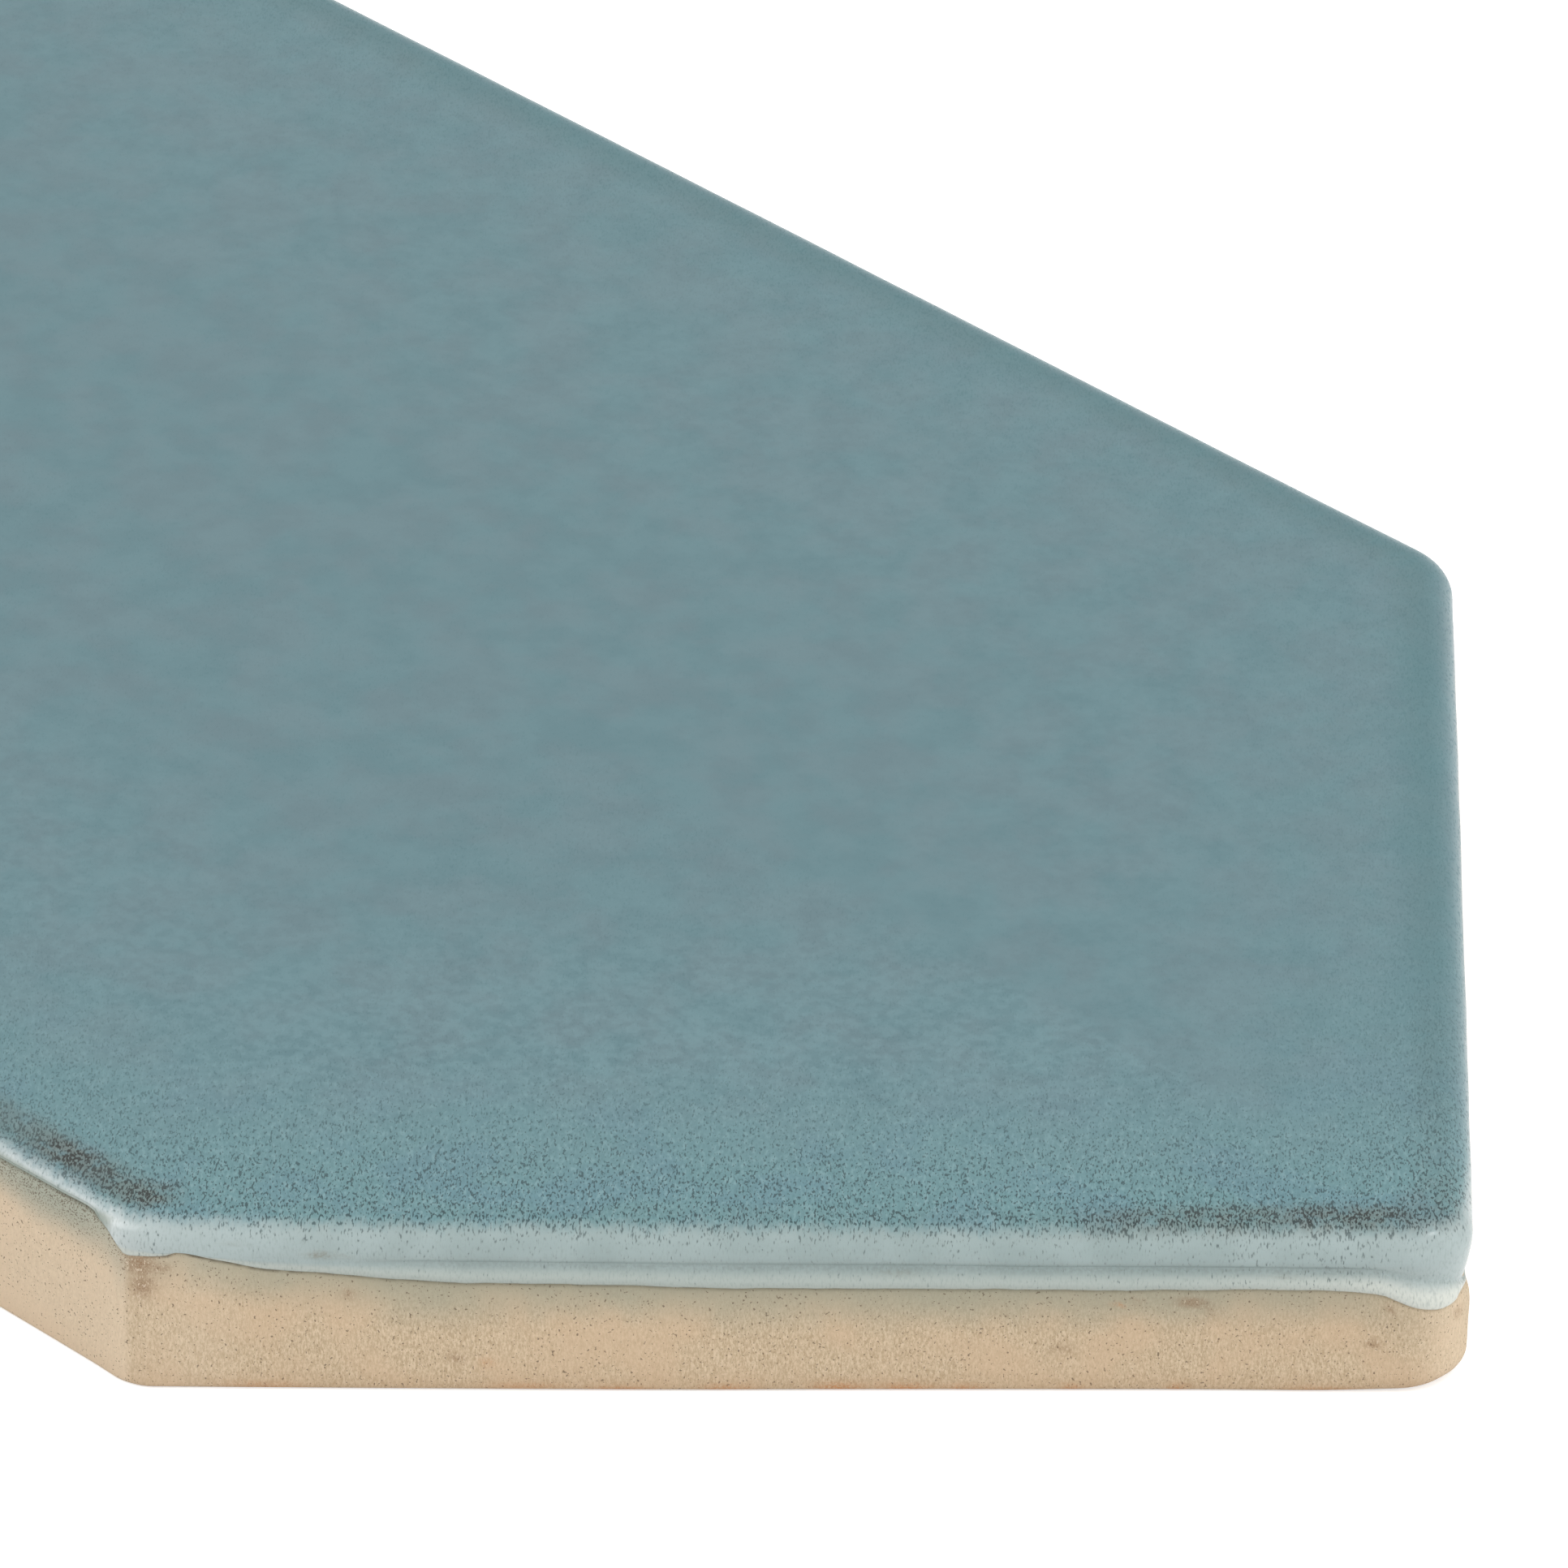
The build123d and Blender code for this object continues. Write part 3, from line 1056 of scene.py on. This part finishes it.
def clay_material():
    dark_clay, light_clay = srgb(180, 158, 128), srgb(218, 198, 170)
    pink_clay, foot_clay, painted_light_clay = srgb(208, 182, 152), srgb(178, 150, 120), srgb(226, 206, 180)
    fume_tint, painted_light_fume_tint = srgb(161, 159, 140), srgb(161, 165, 151)
    under_hem_ink, speck_ink = srgb(84, 78, 64), srgb(98, 82, 66)
    brown_clay, bright_grain, rust_tint = srgb(142, 113, 86), srgb(238, 222, 200), srgb(188, 126, 76)
    n = Nodes(bpy.data.materials.new("buff_clay"))
    place = n.place()
    under, painted_light_and_flecks = n.value("under"), n.value("painted_light_and_flecks")
    height = n.add("ShaderNodeSeparateXYZ", {"Vector": place}, output=2)

    # Buff and pinkish grains, in faint upright streaks
    grain = n.noise(n.drawn(place, 0.0, (1.0, 1.0, 2.5)), 0.09, 3.0, 0.75)
    clouds = n.noise(place, 3.5, 2.0)
    clay = n.mix(n.ramp(grain, 0.3, 0.7), dark_clay, light_clay)
    clay = n.mix(n.ramp(clouds, 0.42, 0.66, 0.0, 0.6), clay, pink_clay)
    clay = n.mix(n.ramp(height, 1.2, 0.1, 0.0, 0.35), clay, foot_clay)
    # Painted light: the long flanks and the tips are painted paler, as if they were more strongly lit
    clay = n.mix(n.times(painted_light_and_flecks, 0.6), clay, painted_light_clay)

    # Fumes of the glaze tint the clay under the hem; on the long flanks and at the tips the tint is
    # painted lighter, which is painted light
    fume = n.math("ADD", under, n.times(n.math("SUBTRACT", clouds, 0.5), 1.6))
    fume = n.times(n.ramp(fume, 2.3, 0.0), n.value("fume"))
    clay = n.mix(fume, clay, n.mix(painted_light_and_flecks, fume_tint, painted_light_fume_tint))

    # A dark broken line close under the hem
    gaps = n.ramp(n.noise(place, 0.6, 1.0), 0.35, 0.6, 0.4, 1.0)
    under_hem_line = n.times(n.ramp(under, 0.16, 0.02, 0.0, 0.85), n.value("under_hem_line"), gaps)
    clay = n.mix(under_hem_line, clay, under_hem_ink)

    # Fine dark specks, thick in the fumes along the long sides, and a few larger spots
    flecks = n.noise(place, 0.07, 1.0)
    bar = n.math("SUBTRACT", 0.715, n.times(fume, painted_light_and_flecks, 0.175))
    specks = n.ramp(n.math("SUBTRACT", flecks, bar), 0.0, 0.06)
    spots = n.ramp(n.noise(place, 0.1, 0.0), 0.735, 0.78)
    clay = n.mix(n.times(n.math("MAXIMUM", specks, spots), 0.7), clay, speck_ink)

    # Stains: rough brown clay with bright grains in it, and rusty blots
    brown = n.times(n.value("brown"), n.ramp(flecks, 0.35, 0.6, 0.5, 1.0), 0.95)
    clay = n.mix(brown, clay, brown_clay)
    clay = n.mix(n.times(n.value("brown"), n.ramp(grain, 0.58, 0.66)), clay, bright_grain)
    rust = n.times(n.value("orange"), n.ramp(flecks, 0.35, 0.65, 0.2, 0.9))
    clay = n.mix(rust, clay, rust_tint)

    n.feed(n.inputs["Base Color"], clay)
    n.inputs["Roughness"].default_value = 0.9
    n.inputs["Specular IOR Level"].default_value = 0.3
    n.feed(n.inputs["Normal"], n.bump(grain, 0.05, 0.5))
    return n.owner


def seen(n):
    """1 for rays that show the background: the camera's own, mirrored ones and ones through glass."""
    path = n.tree.nodes.new("ShaderNodeLightPath").outputs
    direct = n.math("ADD", path["Is Camera Ray"], path["Is Glossy Ray"], clamp=True)
    return n.math("ADD", direct, path["Is Transmission Ray"], clamp=True)


def white_floor():
    """A pale floor that keeps the tile's shadow and is white to the camera where it is open."""
    half = 6.0
    corners = [(-half, -half, 0), (half, -half, 0), (half, half, 0), (-half, half, 0)]
    mesh = bpy.data.meshes.new("floor")
    mesh.from_pydata(corners, [], [(0, 1, 2, 3)])
    floor = bpy.data.objects.new("floor", mesh)
    bpy.context.collection.objects.link(floor)
    n = Nodes(bpy.data.materials.new("white_floor"))
    n.inputs["Base Color"].default_value = (0.8, 0.8, 0.8, 1)
    n.inputs["Roughness"].default_value = 1.0
    n.inputs["Specular IOR Level"].default_value = 0.0
    n.inputs["Emission Color"].default_value = (1, 1, 1, 1)
    n.feed(n.inputs["Emission Strength"], n.times(seen(n), 0.5))
    mesh.materials.append(n.owner)
    floor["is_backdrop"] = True


def white_world():
    """White where the background is seen, and half as strong as a light."""
    world = bpy.data.worlds.new("studio")
    bpy.context.scene.world = world
    n = Nodes(world, "Background")
    n.inputs["Color"].default_value = (1, 1, 1, 1)
    n.feed(n.inputs["Strength"], n.ramp(seen(n), 0.0, 1.0, 0.5, 1.0))


def area_light(name, place, aim, size, watts, mirrored=True):
    data = bpy.data.lights.new(name, "AREA")
    data.shape = "DISK"
    data.size = size
    data.energy = watts
    light = bpy.data.objects.new(name, data)
    bpy.context.collection.objects.link(light)
    light.visible_camera = False
    light.visible_glossy = mirrored
    light.location = place
    light.rotation_mode = "QUATERNION"
    light.rotation_quaternion = (Vector(aim) - Vector(place)).to_track_quat("-Z", "Y")


def photo_camera():
    """A long lens that looks down on one tip, with the tile running out of the frame behind it."""
    azimuth, elevation, roll = radians(46.254), radians(31.315), radians(-0.227)
    target = Vector((124.878, -10.869, 20.975)) * MM
    distance = 632.46 * MM
    back = Vector((sin(azimuth) * cos(elevation), -cos(azimuth) * cos(elevation), sin(elevation)))
    level = Vector((cos(azimuth), sin(azimuth), 0))
    rise = back.cross(level)
    right = cos(roll) * level + sin(roll) * rise
    up = back.cross(right)
    data = bpy.data.cameras.new("camera")
    data.lens = 363.19
    data.sensor_width = 36.0
    camera = bpy.data.objects.new("camera", data)
    bpy.context.collection.objects.link(camera)
    place = target + distance * back
    camera.matrix_world = Matrix.Translation(place) @ Matrix((right, up, back)).transposed().to_4x4()
    bpy.context.scene.camera = camera


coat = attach(glaze_coat(glaze_material()), "root")
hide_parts(TILE)
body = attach(clay_body(clay_material()), "root")
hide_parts(TILE)

white_floor()
white_world()
tip = (0.13, 0.0, 0.0)
area_light("key", (-0.3, -1.1, 1.3), tip, 1.2, 12.0)
area_light("front_fill", (1.24, -0.39, 0.56), tip, 0.7, 4.0, mirrored=False)
area_light("side_fill", (1.11, 0.84, 0.55), tip, 0.9, 6.5, mirrored=False)
area_light("glint", (0.72, 0.44, 1.19), tip, 0.25, 2.2)
photo_camera()
bpy.context.scene.view_settings.view_transform = "Standard"

boxes = {"cad": cad_box, "visual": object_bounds()}
{name: [list(corner) for corner in box] for name, box in boxes.items()}
